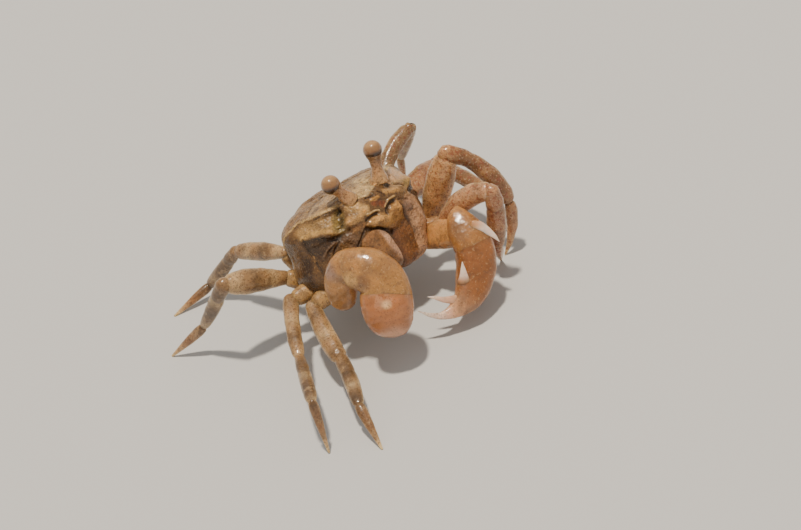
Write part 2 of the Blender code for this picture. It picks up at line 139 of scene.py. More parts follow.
def wetShell(name, look):
    # painted shell: its own tint, darker blotches, small spots, grain and a wet film
    material = bpy.data.materials.new(name)
    material.use_nodes = True
    tree = material.node_tree
    place = addNode(tree, "TexCoord", {}).outputs["Object"]
    if "plain" in look:
        colour = addNode(tree, "RGB", {}).outputs[0]
        colour.default_value = (*paint(look["plain"]), 1)
    else:
        colour = addNode(tree, "VertexColor", {}, layer_name="tint").outputs["Color"]
    for scale, cover, softness, strength, tone in look["spots"]:
        spots = addNode(tree, "Group", {"Vector": place, "Scale": scale, "Cover": cover,
                                        "Softness": softness}, node_tree=speckles)
        weaker = reckon(tree, "MULTIPLY", spots.outputs["Mask"], strength)
        mix = addNode(tree, "Mix", {"Factor": weaker, "A": colour, "B": (*paint(tone), 1)},
                      data_type="RGBA")
        colour = mix.outputs["Result"]
    grain = addNode(tree, "Group", {"Vector": place, "Scale": look["grain"], "Waves": look["waves"]},
                    node_tree=shellGrain)
    ripples = addNode(tree, "TexNoise", {"Vector": place, "Scale": look["grain"] * wetFilm["rippleShare"],
                                         "Detail": 3.0})
    size = {"Strength": look["bump"], "Distance": look["depth"] * mm}
    rough = addNode(tree, "Bump", {"Height": grain.outputs["Height"], **size})
    film = addNode(tree, "Bump", {"Height": ripples.outputs["Fac"], **size})
    patchy = addNode(tree, "TexNoise", {"Vector": place, "Scale": wetFilm["patchScale"]})
    uneven = addNode(tree, "MapRange", {"Value": patchy.outputs["Fac"],
                                        "To Min": look["roughness"] - wetFilm["smoother"],
                                        "To Max": look["roughness"] + wetFilm["rougher"]})
    feed(tree, tree.nodes["Principled BSDF"], {
        "Base Color": colour, "Roughness": uneven.outputs["Result"], "IOR": 1.38,
        "Normal": rough.outputs["Normal"], "Coat Normal": film.outputs["Normal"],
        "Subsurface Weight": look["glow"], "Subsurface Radius": (1.0, 0.65, 0.4),
        "Subsurface Scale": look["glowDepth"] * mm, "Transmission Weight": look.get("clear", 0),
        "Coat Weight": look["coat"], "Coat Roughness": look["coatRoughness"]})
    return material


legFilm = dict(grain=13000, waves=1.0, bump=0.6, depth=0.022, glow=0.35, glowDepth=0.4, coat=0.6,
               coatRoughness=0.08, clear=0.08)
# spots: scale, cover, softness, strength and colour of each kind
looks = {
    "carapaceShell": dict(
        spots=((2300, 0.52, 0.1, 0.5, (0.38, 0.27, 0.17)), (6500, 0.57, 0.06, 0.6, (0.24, 0.17, 0.1)),
               (9000, 0.57, 0.07, 0.45, (0.8, 0.65, 0.44)), (15000, 0.55, 0.07, 0.5, (0.34, 0.24, 0.15))),
        grain=13000, waves=1.3, bump=1.0, depth=0.042, roughness=0.4, glow=0.2, glowDepth=0.3, coat=0.35,
        coatRoughness=0.12),
    "faceShell": dict(
        spots=((2600, 0.52, 0.12, 0.35, (0.24, 0.16, 0.09)), (6500, 0.58, 0.06, 0.5, (0.2, 0.14, 0.08)),
               (12000, 0.58, 0.07, 0.2, (0.8, 0.64, 0.42)), (16000, 0.56, 0.07, 0.4, (0.24, 0.16, 0.1))),
        grain=13000, waves=1.2, bump=0.9, depth=0.038, roughness=0.38, glow=0.25, glowDepth=0.35, coat=0.5,
        coatRoughness=0.08),
    "legShell": dict(
        spots=((1500, 0.5, 0.14, 0.45, (0.4, 0.3, 0.2)), (2600, 0.56, 0.1, 0.4, (0.8, 0.66, 0.48)),
               (8000, 0.57, 0.06, 0.45, (0.34, 0.22, 0.13)), (15000, 0.54, 0.06, 0.55, (0.3, 0.2, 0.12))),
        roughness=0.32, **legFilm),
    "rosyShell": dict(
        spots=((1700, 0.5, 0.14, 0.5, (0.46, 0.34, 0.24)), (6500, 0.54, 0.06, 0.6, (0.54, 0.25, 0.16)),
               (15000, 0.54, 0.06, 0.5, (0.36, 0.21, 0.13)), (11000, 0.58, 0.06, 0.45, (0.88, 0.74, 0.6))),
        roughness=0.3, **legFilm),
    "clawShell": dict(
        spots=((1100, 0.5, 0.16, 0.45, (0.5, 0.38, 0.29)), (2600, 0.58, 0.08, 0.5, (0.44, 0.31, 0.21)),
               (9000, 0.58, 0.07, 0.35, (0.84, 0.68, 0.48)), (13000, 0.55, 0.06, 0.4, (0.42, 0.29, 0.19))),
        grain=7000, waves=2.5, bump=0.5, depth=0.03, roughness=0.3, glow=0.5, glowDepth=0.5, coat=0.7,
        coatRoughness=0.06, clear=0.08),
    "palmShell": dict(
        spots=((1300, 0.52, 0.16, 0.45, (0.86, 0.66, 0.52)), (2600, 0.6, 0.1, 0.3, (0.56, 0.36, 0.25)),
               (13000, 0.57, 0.06, 0.45, (0.46, 0.29, 0.19))),
        grain=9000, waves=1.5, bump=0.3, depth=0.02, roughness=0.3, glow=0.6, glowDepth=0.6, coat=0.7,
        coatRoughness=0.06, clear=0.08),
    "pearlShell": dict(
        spots=((6000, 0.58, 0.1, 0.25, (0.8, 0.58, 0.48)),),
        grain=9000, waves=0.8, bump=0.2, depth=0.01, roughness=0.24, glow=0.5, glowDepth=0.3, coat=0.6,
        coatRoughness=0.06),
    "plainShell": dict(
        spots=((2400, 0.5, 0.12, 0.5, (0.36, 0.26, 0.18)), (7000, 0.6, 0.05, 0.6, (0.24, 0.17, 0.11))),
        plain=(0.6, 0.46, 0.3), grain=9000, waves=0.8, bump=0.5, depth=0.02, roughness=0.36, glow=0.3,
        glowDepth=0.3, coat=0.5, coatRoughness=0.1),
    "eyeSkin": dict(
        spots=((9000, 0.6, 0.05, 0.3, (0.3, 0.22, 0.16)),),
        grain=16000, waves=0.4, bump=0.12, depth=0.01, roughness=0.25, glow=0.3, glowDepth=0.2, coat=0.9,
        coatRoughness=0.04),
}
shells = {name: wetShell(name, look) for name, look in looks.items()}
print("materials made")


view = dict(azimuth=-33.0, elevation=34.7, roll=15.8, distance=120.0, aimAt=(0, -2.75, 0.9),
            across=0.596, down=3.33, lens=129.44)
turnOf, liftOf, rollOf = (math.radians(view[k]) for k in ("azimuth", "elevation", "roll"))
back = Vector((math.sin(turnOf) * math.cos(liftOf), -math.cos(turnOf) * math.cos(liftOf),
               math.sin(liftOf)))
right = Vector((math.cos(turnOf), math.sin(turnOf), 0))
up = back.cross(right)
tilted = up * math.cos(rollOf) + right * math.sin(rollOf)


def seen(across, rise):
    # an offset in millimetres across and up the view
    return (right * math.cos(rollOf) - up * math.sin(rollOf)) * across + tilted * rise


# the body's form, in its own level frame: bearing from the nose, elevation from level
bodyForm = dict(halfWidth=3.06, front=2.95, rear=2.12, top=1.28, belly=2.25, chinDrop=0.60,
                plan=2.5, bellyPower=4.0, backPower=3.2, flankDent=0.30, flankAt=122, flankHalf=23)
marginLine = ((0, 15), (14, 18), (28, 20), (72, 20), (84, 12), (96, 2), (122, -8), (180, -14))
# its soft swellings and dents: middle and half widths in degrees, how far each rises in
# millimetres, and if both sides have it
bodyPatches = {
    "shoulder": ((83, 11), (8, 5), 0.14, True),
    "orbit": ((44, 12), (24, 6), -0.25, True),
    "orbitFloor": ((46, 3), (24, 4), 0.12, True),
    "mouth": ((6, -31), (24, 18), -0.45, False),
    "tail": ((180, -52), (24, 26), -0.16, True),
    "cheek": ((-76, -31), (30, 17), 0.42, False),
    "chin": ((27, -54), (24, 15), 0.46, False),
}


def bodyRadius(b, e):
    f = bodyForm
    br, er = np.radians(b), np.radians(e)
    x, y, z = np.sin(br) * np.cos(er), -np.cos(br) * np.cos(er), np.sin(er)
    length = np.where(y < 0, f["front"], f["rear"])
    height = np.where(z > 0, f["top"], f["belly"] + f["chinDrop"] * np.maximum(0, -y))
    power = np.where(z > 0, f["backPower"], f["bellyPower"])
    plan = np.abs(x / f["halfWidth"]) ** f["plan"] + np.abs(y / length) ** f["plan"]
    radius = (plan ** (power / f["plan"]) + np.abs(z / height) ** power) ** (-1 / power)
    side = np.abs(b)
    for (b0, e0), (bHalf, eHalf), rise, both in bodyPatches.values():
        turned = side if both else b
        radius = radius + rise * np.exp(-((turned - b0) / bHalf) ** 4 - ((e - e0) / eHalf) ** 4)
    flank = np.exp(-((side - f["flankAt"]) / f["flankHalf"]) ** 4)
    return radius - f["flankDent"] * flank * np.cos(er) ** 2


def margin(b):
    return np.interp(np.abs(b), [m[0] for m in marginLine], [m[1] for m in marginLine])


def clouds(points, *waves):
    # soft noise at each point, summed over waves of (strength, scale, seed)
    total = np.zeros(len(points))
    for strength, scale, seed in waves:
        offset = Vector((seed * 3.1, seed * 7.7, seed * 1.9))
        total += strength * np.array([noise.noise(Vector(p) * scale + offset) for p in points])
    return total


def spherical(b, e, r):
    br, er = np.radians(b), np.radians(e)
    return np.stack((r * np.sin(br) * np.cos(er), -r * np.cos(br) * np.cos(er),
                     r * np.sin(er)), axis=1)


def warp(b, e):
    # move each place by up to a degree or two, so that no line runs too evenly
    points = spherical(b, e, np.full(len(b), 3.0))
    return (b + clouds(points, (1, 1.6, 31), (0.6, 4.5, 32)),
            e + clouds(points, (1, 1.6, 33), (0.6, 4.5, 34)))


def onBody(b, e, lift):
    # a point on the body's skin, lifted off it by so many millimetres, in the floor frame
    b, e = np.array([float(b)]), np.array([float(e)])
    return onFloor(spherical(b, e, bodyRadius(b, e) + lift)[0])


def ballRows(name, across, along):
    # a ball whose rows are then laid onto a form: polar runs from one pole to the other
    bpy.ops.object.select_all(action="DESELECT")
    bpy.ops.mesh.primitive_uv_sphere_add(segments=across, ring_count=along, radius=1)
    ball = bpy.context.object
    ball.name = name
    ball.data.name = name
    co = np.empty(len(ball.data.vertices) * 3)
    ball.data.vertices.foreach_get("co", co)
    co = co.reshape(-1, 3)
    polar = np.arccos(np.clip(co[:, 2], -1, 1)) / math.pi
    around = np.arctan2(co[:, 1], co[:, 0])
    return ball, polar, around


wetSand = np.array((0.95, 0.86, 0.66))  # the whole animal is tinged like wet sand


def evenTint(colour, points):
    return np.tile(np.array(paint(colour)), (len(points), 1))


def blend(base, colour, mask):
    return base + (np.array(paint(colour)) - base) * np.clip(mask, 0, 1)[:, None]


def mottled(tint, points, *waves):
    return tint * (1 + clouds(points, *waves))[:, None]


def lay(piece, points, tint, toRow):
    # put the rows in their places, colour them and shade them smoothly
    matrix = np.array(toRow)
    placed = points @ matrix[:3, :3].T + matrix[:3, 3]
    placed[:, 2] = np.maximum(placed[:, 2], 0)
    piece.data.vertices.foreach_set("co", placed.ravel())
    layer = piece.data.color_attributes.new("tint", "FLOAT_COLOR", "POINT")
    rgba = np.concatenate([np.clip(tint * wetSand, 0, 1), np.ones((len(tint), 1))], axis=1)
    layer.data.foreach_set("color", rgba.ravel())
    piece.data.update()
    bpy.ops.object.shade_smooth()


def join(first, *others):
    bpy.ops.object.select_all(action="DESELECT")
    for piece in (first, *others):
        piece.select_set(True)
    bpy.context.view_layer.objects.active = first
    bpy.ops.object.join()


def dress(piece, shell):
    piece.data.materials.clear()
    piece.data.materials.append(shells[shell])


def finishPiece(piece, slot, *nodes):
    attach(piece, "root")
    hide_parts(*nodes)


# marks on the body: a line of (bearing, elevation), its half width in degrees, its colour,
# how far it rises in millimetres, and if the other side has it too
def trace(line, half, colour, rise=0, both=False):
    return dict(line=line, half=half, colour=colour, rise=rise, both=both)


faceMarks = {
    "orbitFloor": trace(((-66, 12), (-50, 12), (-37, 9)), 6, (0.7, 0.57, 0.39), both=True),
    "cheekOval": trace(((-80, 0), (-78, -12), (-78, -22)), 9, (0.37, 0.27, 0.17), 0.05, both=True),
    "cheekShade": trace(((-73, -12), (-76, -22)), 6, (0.22, 0.14, 0.09), both=True),
    "cheekEdge": trace(
        ((-90, 2), (-92, -14), (-88, -30), (-78, -36)), 1.8, (0.54, 0.43, 0.29), 0.03, both=True),
    "underOrbit": trace(((-62, -1), (-58, -7), (-48, -5)), 6.5, (0.25, 0.17, 0.11), -0.02, both=True),
    # painted shade under the overhanging ledge below the orbit
    "shadeUnderLedge": trace(
        ((-66, 3.5), (-58, 4.5), (-49, 1), (-42, -1.5), (-37, -3.5)), 2.4, (0.17, 0.11, 0.07), -0.1,
        both=True),
    "ledge": trace(
        ((-68, 8), (-60, 10), (-50, 7.4), (-42, 4.6), (-38, 1.3), (-33, 0)), 1.4, (0.78, 0.63, 0.4), 0.06,
        both=True),
    "cheekLine": trace(
        ((-66.5, 7), (-66, 0), (-65, -7), (-63, -13), (-61, -18)), 1.0, (0.2, 0.14, 0.1), -0.05, both=True),
    "cheekSpur": trace(((-64, -8), (-64, -12)), 0.7, (0.62, 0.48, 0.32), 0.05, both=True),
    "foldA": trace(((-43, -4), (-50, -7), (-56, -12)), 0.9, (0.44, 0.35, 0.29), 0.07, both=True),
    "foldB": trace(((-39, -6), (-45, -10), (-50, -16)), 0.8, (0.2, 0.14, 0.11), -0.06, both=True),
    "mouthCheek": trace(((-33, -6), (-30, -10), (-31, -15)), 4.0, (0.42, 0.33, 0.27), 0.05),
    "orbitPit": trace(((-31, 13), (-34.5, 3.5)), 5.2, (0.5, 0.43, 0.27), -0.22, both=True),
    "pitGreen": trace(((-36, 11), (-36.5, 5), (-33.5, 3)), 2.6, (0.54, 0.46, 0.27)),
    "pitDark": trace(((-30, 9), (-32.5, 4.5)), 2.0, (0.22, 0.17, 0.09), -0.03, both=True),
    "pitTop": trace(((-28.5, 15), (-31, 13.5)), 1.8, (0.16, 0.13, 0.07), -0.04, both=True),
    # a shallow groove under the carapace margin, darkened as the painted shadow the margin casts into the
    # orbit
    "rimGrooveShadow": trace(((-52, 18.2), (-40, 18.6), (-31, 18.2)), 0.9, (0.34, 0.26, 0.17), -0.02, both=True),
    "notch": trace(((-27.8, 20), (-28, 14)), 1.2, (0.18, 0.13, 0.08), -0.08, both=True),
    "paleBrow": trace(((-19, 13), (-14, 11.5), (-10, 6)), 4.2, (0.82, 0.67, 0.47), 0.05),
    "paleCheek": trace(((-24, 4), (-17, 3)), 3.6, (0.78, 0.62, 0.42), 0.03),
    "amberSpot": trace(((-11, 5.5),), 1.6, (0.8, 0.58, 0.28), 0.02),
    "brownCheek": trace(((-26, -3), (-19, -3.5), (-14, -6)), 2.6, (0.58, 0.42, 0.26)),
    "browSide": trace(((30, 5), (36, 0)), 5, (0.64, 0.51, 0.35)),
    "browPale": trace(((38, 18), (50, 15), (62, 10)), 8, (0.82, 0.68, 0.58)),
    "browHole": trace(((24, 12.5), (31, 12.5)), 2.3, (0.28, 0.24, 0.16), -0.14),
    "redFold": trace(((0, 6.5), (4, 4.5), (7.5, 1.5)), 2.3, (0.5, 0.27, 0.15), -0.03),
    "amberFold": trace(((0, 10), (6, 8.5)), 1.4, (0.78, 0.58, 0.3), 0.04),
    "browFold": trace(((15, 9), (24, 6)), 2.6, (0.72, 0.56, 0.35), 0.04),
    "foldLineA": trace(((-3, 14), (3, 12)), 0.7, (0.22, 0.14, 0.08), -0.05),
    "foldLineB": trace(((10, 12), (13, 7)), 0.8, (0.24, 0.15, 0.08), -0.05),
    "lobeRight": trace(((-9, -6.5), (-2, -8.5), (6, -13)), 5.4, (0.86, 0.67, 0.43), 0.09),
    "lobeLeft": trace(((14, -6), (19, -9), (17, -16), (13, -19)), 5.6, (0.84, 0.63, 0.38), 0.09),
    "arcRight": trace(
        ((-12.4, -2.5), (-9.6, -0.9), (-5.9, -1.4), (-2, -2.4)), 1.4, (0.2, 0.13, 0.07), -0.11),
    "arcRightRim": trace(((-10, 1.4), (-4.1, 1.2), (1, -0.8)), 0.8, (0.84, 0.72, 0.54), 0.05),
    "arcLeft": trace(
        ((7.5, -6.5), (9, -4), (11, -2.2), (14, -1.3), (18.4, -1.5)), 1.8, (0.18, 0.12, 0.07), -0.13),
    "arcLeftRim": trace(((8, -0.2), (10.2, 1.2), (14.5, 2.2), (20, 1.4)), 0.8, (0.82, 0.68, 0.48), 0.05),
    # painted shade under the mouth lobes
    "shadeUnderLobes": trace(
        ((-15, -8.5), (-9, -13), (-3, -16.5), (7, -24), (14, -28)), 2.2, (0.2, 0.11, 0.06), -0.13),
    "midSeam": trace(((-16, -6.5), (-22.3, -10.5), (-29.5, -15)), 1.0, (0.26, 0.18, 0.12), -0.05),
    "redJaw": trace(((16, -26), (22, -40), (20, -56)), 8, (0.5, 0.33, 0.19), 0.04),
    "pinkCheek": trace(((34, -12), (37, -24), (38, -40), (34, -52)), 8, (0.82, 0.65, 0.55), 0.14),
    "greyCheek": trace(((27, -9.5), (30, -13)), 2.6, (0.52, 0.42, 0.39), 0.02),
    "sideLine": trace(((23, -6), (25, -14), (27, -24), (27, -34)), 1.1, (0.3, 0.18, 0.11), -0.07),
    "wingLine": trace(((23, -3), (31, -6.5)), 0.9, (0.38, 0.26, 0.17), -0.05),
}


def reach(b, e, line):
    # how far each place is from a line of (bearing, elevation), in degrees
    best = np.full(len(b), np.inf)
    for (b0, e0), (b1, e1) in zip(line, line[1:] or line):
        k = math.cos(math.radians((e0 + e1) / 2))
        u, v = (b - b0) * k, e - e0
        du, dv = (b1 - b0) * k, e1 - e0
        t = np.clip((u * du + v * dv) / max(du * du + dv * dv, 1e-9), 0, 1)
        best = np.minimum(best, np.hypot(u - t * du, v - t * dv))
    return best


def markReach(b, e, mark):
    # in half widths; a mark on both sides is mirrored about the nose, which turns a little
    far = reach(b, e, mark["line"])
    if mark["both"]:
        mirrored = 9 * ridge(b, 0, 50) - b
        far = np.minimum(far, reach(mirrored, e, mark["line"]))
    return far / mark["half"]


def carve(b, e):
    return sum(mark["rise"] * np.exp(-markReach(b, e, mark) ** 2 * 1.1) for mark in faceMarks.values())


def paintMarks(tint, b, e, marks):
    for mark in marks.values():
        mask = 1 - smooth(markReach(b, e, mark), 0.5, 1.5)
        tint = blend(tint, mark["colour"], 0.85 * mask)
    return tint


def frontDense(around):
    # bearings, closer together at the front
    turn = np.degrees(around) / 180
    return 180 * turn * (0.55 + 0.45 * turn ** 2)


underForm = dict(size=(380, 210), lid=0.06, lidDepth=0.06, belowMargin=0.4, roughFrom=0.5,
                 rough=((0.020, 4.0, 1), (0.014, 13.0, 2)), base=(0.42, 0.31, 0.19),
                 belly=(0.64, 0.53, 0.38), bellyFrom=(34, 50), flank=(0.56, 0.45, 0.31),
                 flankFrom=(92, 110),
                 mottle=((0.34, 1.7, 3), (0.30, 6.0, 4), (0.3, 16.0, 12)))


def makeUnderside():
    # from just under the carapace's margin down and round; a lid closes it inside
    form = underForm
    piece, polar, around = ballRows("underside", *form["size"])
    b = frontDense(around)
    lid = form["lid"]
    edge = margin(b) - form["belowMargin"]
    down = np.clip((polar - lid) / (1 - lid), 0, 1)
    down = down * (0.72 + 0.28 * down)
    e = edge - (edge + 90) * down
    wb, we = warp(b, e)
    r = bodyRadius(b, e) + carve(wb, we)
    r = np.where(polar < lid, (r - form["lidDepth"]) * polar / lid, r)
    points = spherical(b, e, np.maximum(r, 0))
    rough = clouds(points, *form["rough"]) * (polar > lid)
    points *= (1 + rough / np.maximum(r, form["roughFrom"]))[:, None]
    tint = evenTint(form["base"], points)
    tint = blend(tint, form["belly"], 0.7 * smooth(-e, *form["bellyFrom"]))
    tint = blend(tint, form["flank"], smooth(np.abs(b), *form["flankFrom"]))
    tint = mottled(paintMarks(tint, wb, we, faceMarks), points, *form["mottle"])
    lay(piece, points, tint, bodyToRow)
    dress(piece, "faceShell")
    finishPiece(piece, "underside_grey", "face", "thorax", "mouth")


backPaint = {
    "flankBrown": trace(((-80, 22), (-88, 34), (-130, 50), (-180, 56)), 11, (0.56, 0.42, 0.26), both=True),
    "shoulderPale": trace(((-60, 27), (-48, 34), (-34, 38), (-20, 30)), 8, (0.72, 0.6, 0.45), both=True),
    "shoulderSmudge": trace(((-53, 26), (-50, 29)), 3, (0.46, 0.38, 0.31), both=True),
    # cream front between the eyes, pale partly from its own colour and partly as a painted highlight of its
    # gloss
    "browCreamAndSheen": trace(((24, 38), (18, 30), (2, 18), (-8, 22)), 7, (0.82, 0.72, 0.56)),
    "browAmber": trace(((22, 23), (17, 19)), 3, (0.8, 0.58, 0.34)),
    "browWhite": trace(((46, 22), (60, 16)), 6, (0.88, 0.77, 0.68)),
    "rimPale": trace(
        ((-96, 4), (-84, 12.5), (-72, 21), (-50, 21.5), (-28, 21)), 1.3, (0.78, 0.67, 0.49), both=True),
}
# the back's bead and furrows: At says where each lies and its half width, End where it fades
backForm = dict(size=(320, 130), rim=0.86, under=0.91, rimLift=0.01, bead=0.015, beadAt=(0.965, 0.02),
                beadEnd=(22, 32), groove=0.05, grooveAt=(0.62, 0.10), grooveEnd=(-0.9, -0.5, 0.8, 1.2),
                bar=0.04, barAt=(0.30, 0.09), barEnd=(0.55, 0.7), neck=0.05, neckAt=(-0.25, 0.12),
                neckSlant=0.55, neckStart=0.6, neckEnd=(0.5, 0.8, 1.9, 2.4), brow=0.07,
                browEnd=(20, 46), crumple=0.05, foldIn=0.09, foldDown=1.2, lining=0.05,
                rough=((0.04, 2.0, 5), (0.022, 7.0, 6), (0.012, 16.0, 13)), base=(0.58, 0.46, 0.32),
                pale=(0.70, 0.58, 0.44), dark=(0.42, 0.33, 0.24), seam=(0.30, 0.23, 0.17),
                mottle=((0.34, 5.0, 10), (0.35, 14.0, 11)))


def makeCarapace():
    # the back from its crown to the margin, a rim folded under, and a lining inside
    form = backForm
    piece, polar, around = ballRows("carapaceShell", *form["size"])
    b = frontDense(around)
    rim, under = form["rim"], form["under"]
    top = np.clip(polar / rim, 0, 1) ** 0.9
    e = 90 - (90 - margin(b)) * top
    r = bodyRadius(b, e)
    side = np.abs(b)
    points = spherical(b, e, r)
    x, y = np.abs(points[:, 0]), points[:, 1]
    groove = ridge(x, *form["grooveAt"]) * within(y, *form["grooveEnd"])
    bar = ridge(y, *form["barAt"]) * (1 - smooth(x, *form["barEnd"]))
    slanted = y + form["neckSlant"] * (x - form["neckStart"])
    neck = ridge(slanted, *form["neckAt"]) * within(x, *form["neckEnd"])
    brow = clouds(points * np.array((1.0, 2.2, 1.0)), (1, 3.2, 7)) * (1 - smooth(side, *form["browEnd"]))
    lift = form["rimLift"] * smooth(top, 0.90, 1.0)
    lift += form["bead"] * ridge(top, *form["beadAt"]) * smooth(side, *form["beadEnd"])
    lift -= form["groove"] * groove + form["bar"] * bar + form["neck"] * neck
    lift += clouds(points, *form["rough"]) + form["brow"] * brow * smooth(top, 0.66, 0.85)
    lift += clouds(points, (form["crumple"], 7.5, 14)) * smooth(top, 0.90, 0.97)
    fold = np.clip((polar - rim) / (under - rim), 0, 1)
    inward = np.clip((polar - under) / (1 - under), 0, 1)
    r = (r + lift - form["foldIn"] * fold) * (1 - inward)
    e = e - form["foldDown"] * np.sin(fold * math.pi)
    points = spherical(b, e, np.maximum(r, 0)) + np.outer(inward, (0, 0, form["lining"]))
    tint = evenTint(form["base"], points)
    tint = blend(tint, form["pale"], 0.6 * smooth(clouds(points, (1, 1.1, 8)), 0.0, 0.35))
    tint = blend(tint, form["dark"], 0.6 * smooth(clouds(points, (1, 1.5, 9)), 0.05, 0.4))
    tint = mottled(paintMarks(tint, b, e, backPaint), points, *form["mottle"])
    tint = blend(tint, form["seam"], 0.7 * (groove + bar + neck))
    lay(piece, points, tint, bodyToRow)
    dress(piece, "carapaceShell")
    finishPiece(piece, "carapace_tan", "carapace")


makeUnderside()
makeCarapace()
print("body made")


def heading(side, turn, rise):
    h, r = math.radians(turn), math.radians(rise)
    level = Vector((side * math.cos(h), -math.sin(h), 0))
    return level * math.cos(r) + Vector((0, 0, math.sin(r)))


easing = dict(steps=161, width=15)


def spread(s, marks, values):
    # values given at marks, eased between them, read at s
    fine = np.linspace(0, 1, easing["steps"])
    kernel = np.hanning(easing["width"])
    kernel /= kernel.sum()
    half = easing["width"] // 2
    plain = np.interp(fine, marks, values)
    start, end = 2 * plain[0] - plain[half:0:-1], 2 * plain[-1] - plain[-2:-half - 2:-1]
    eased = np.convolve(np.concatenate([start, plain, end]), kernel, mode="valid")
    return np.interp(s, fine, eased)


def rounded(share, cap):
    return np.sqrt(np.clip(1 - (1 - np.clip(share / cap, 0, 1)) ** 2, 0, 1))


def limb(name, stations, broad, colours, size, caps, seed, rough=0.02, crest=0.0, square=2.0,
         mottle=0.45, span=(0, 1), rim=None, oblique=(0, 0)):
    # stations: a point of the middle line, half height and half width; broad: where its wide
    # side faces; span: the share of the line it takes; oblique: how its two ends slant
    piece, polar, around = ballRows(name, *size)
    s = (1 - np.cos(polar * math.pi)) / 2
    c, n = np.cos(around), np.sin(around)
    t = span[0] + (span[1] - span[0]) * s + c * (oblique[0] * (1 - s) ** 8 + oblique[1] * s ** 8)
    middle = [Vector(station[0]) for station in stations]
    runs = [0.0]
    for p, q in zip(middle, middle[1:]):
        runs.append(runs[-1] + (q - p).length)
    marks = [run / runs[-1] for run in runs]

    def along(share):
        return np.stack([spread(share, marks, [p[i] for p in middle]) for i in range(3)], axis=1)

    tangent = unit(along(np.clip(t + 0.02, 0, 1)) - along(np.clip(t - 0.02, 0, 1)))
    ends = rounded(s, caps[0]) * rounded(1 - s, caps[1])
    high = spread(t, marks, [station[1] for station in stations]) * ends
    wide = spread(t, marks, [station[2] for station in stations]) * ends
    broad = np.array(broad)
    sideways = unit(tangent * (tangent @ broad)[:, None] - broad)
    upward = np.cross(tangent, sideways)
    fuller = (np.abs(c) ** square + np.abs(n) ** square) ** (-1 / square)
    keel = crest * 0.7
    swell = 1 + crest * np.maximum(c, 0) ** 8 + keel * np.maximum(-c, 0) ** 8
    points = along(t) + upward * (c * fuller * high * swell)[:, None]
    points = points + sideways * (n * fuller * wide)[:, None]
    bumps = clouds(points, (1, 3.0, seed), (0.5, 9.0, seed + 1)) * rough * np.minimum(high / 0.4, 1)
    points = points + (upward * c[:, None] + sideways * n[:, None]) * bumps[:, None]
    places = [k[0] for k in colours]
    tint = np.stack([np.interp(s, places, [paint(k[1])[i] for k in colours]) for i in range(3)], axis=1)
    tint = mottled(tint, points, (mottle, 1.8, seed + 2), (mottle * 0.7, 6.0, seed + 3))
    edge = np.maximum(np.maximum(c, 0) ** 10 * np.clip(crest * 6, 0, 0.7),
                      np.maximum(-c, 0) ** 10 * np.clip(keel * 6, 0, 0.6))
    tint = blend(tint, (0.93, 0.84, 0.70), edge)
    # the pale rim colour is painted along the edges seen side-on, a painted glow of light through the thin
    # shell
    if rim:
        tint = blend(tint, rim, 0.55 * smooth(np.abs(c), 0.80, 1.0))
    lay(piece, points, tint, floorToRow)
    return piece


def spot(piece, at, size, colour, strength=0.9):
    # a soft round patch of colour laid over a finished piece
    centre = np.array(floorToRow @ Vector(at))
    co = np.empty(len(piece.data.vertices) * 3)
    piece.data.vertices.foreach_get("co", co)
    far = np.linalg.norm(co.reshape(-1, 3) - centre, axis=1) / mm
    layer = piece.data.color_attributes["tint"]
    rgba = np.empty(len(far) * 4)
    layer.data.foreach_get("color", rgba)
    rgba = rgba.reshape(-1, 4)
    rgba[:, :3] = blend(rgba[:, :3], colour, strength * (1 - smooth(far, size * 0.5, size * 1.4)))
    layer.data.foreach_set("color", rgba.ravel())


# hips in the body's frame, lengths of root, merus, shank and dactyl, and for each leg the turn
# and rise of its root, merus and shank and the turn of its dactyl, in degrees
legs = dict(
    hips=((2.05, -1.35, -2.15), (2.3, -0.45, -2.05), (2.4, 0.45, -1.75), (2.15, 1.3, -1.2)),
    lengths=((1.2, 3.1, 3.0, 2.05), (1.25, 3.4, 3.6, 2.45), (1.2, 3.2, 3.3, 2.3), (1.1, 3.2, 2.8, 1.95)),
    left=((41, 10, 58, 34, 51, -98, -53), (10, 6, 40, 67, 51, -62, 140), (-18, 19, -25, -6, 92, -1, 73),
          (-16, 26, -20, 26, -78, -56, -83)),
    right=((-16, -14, 56, -17, 63, -10, 76), (-13, 8, 42, -14, 59, 8, 65), (-28, 25, -16, 25, -72, -56, -54),
           (-32, 48, -79, -9, -66, -50, -13)),
)
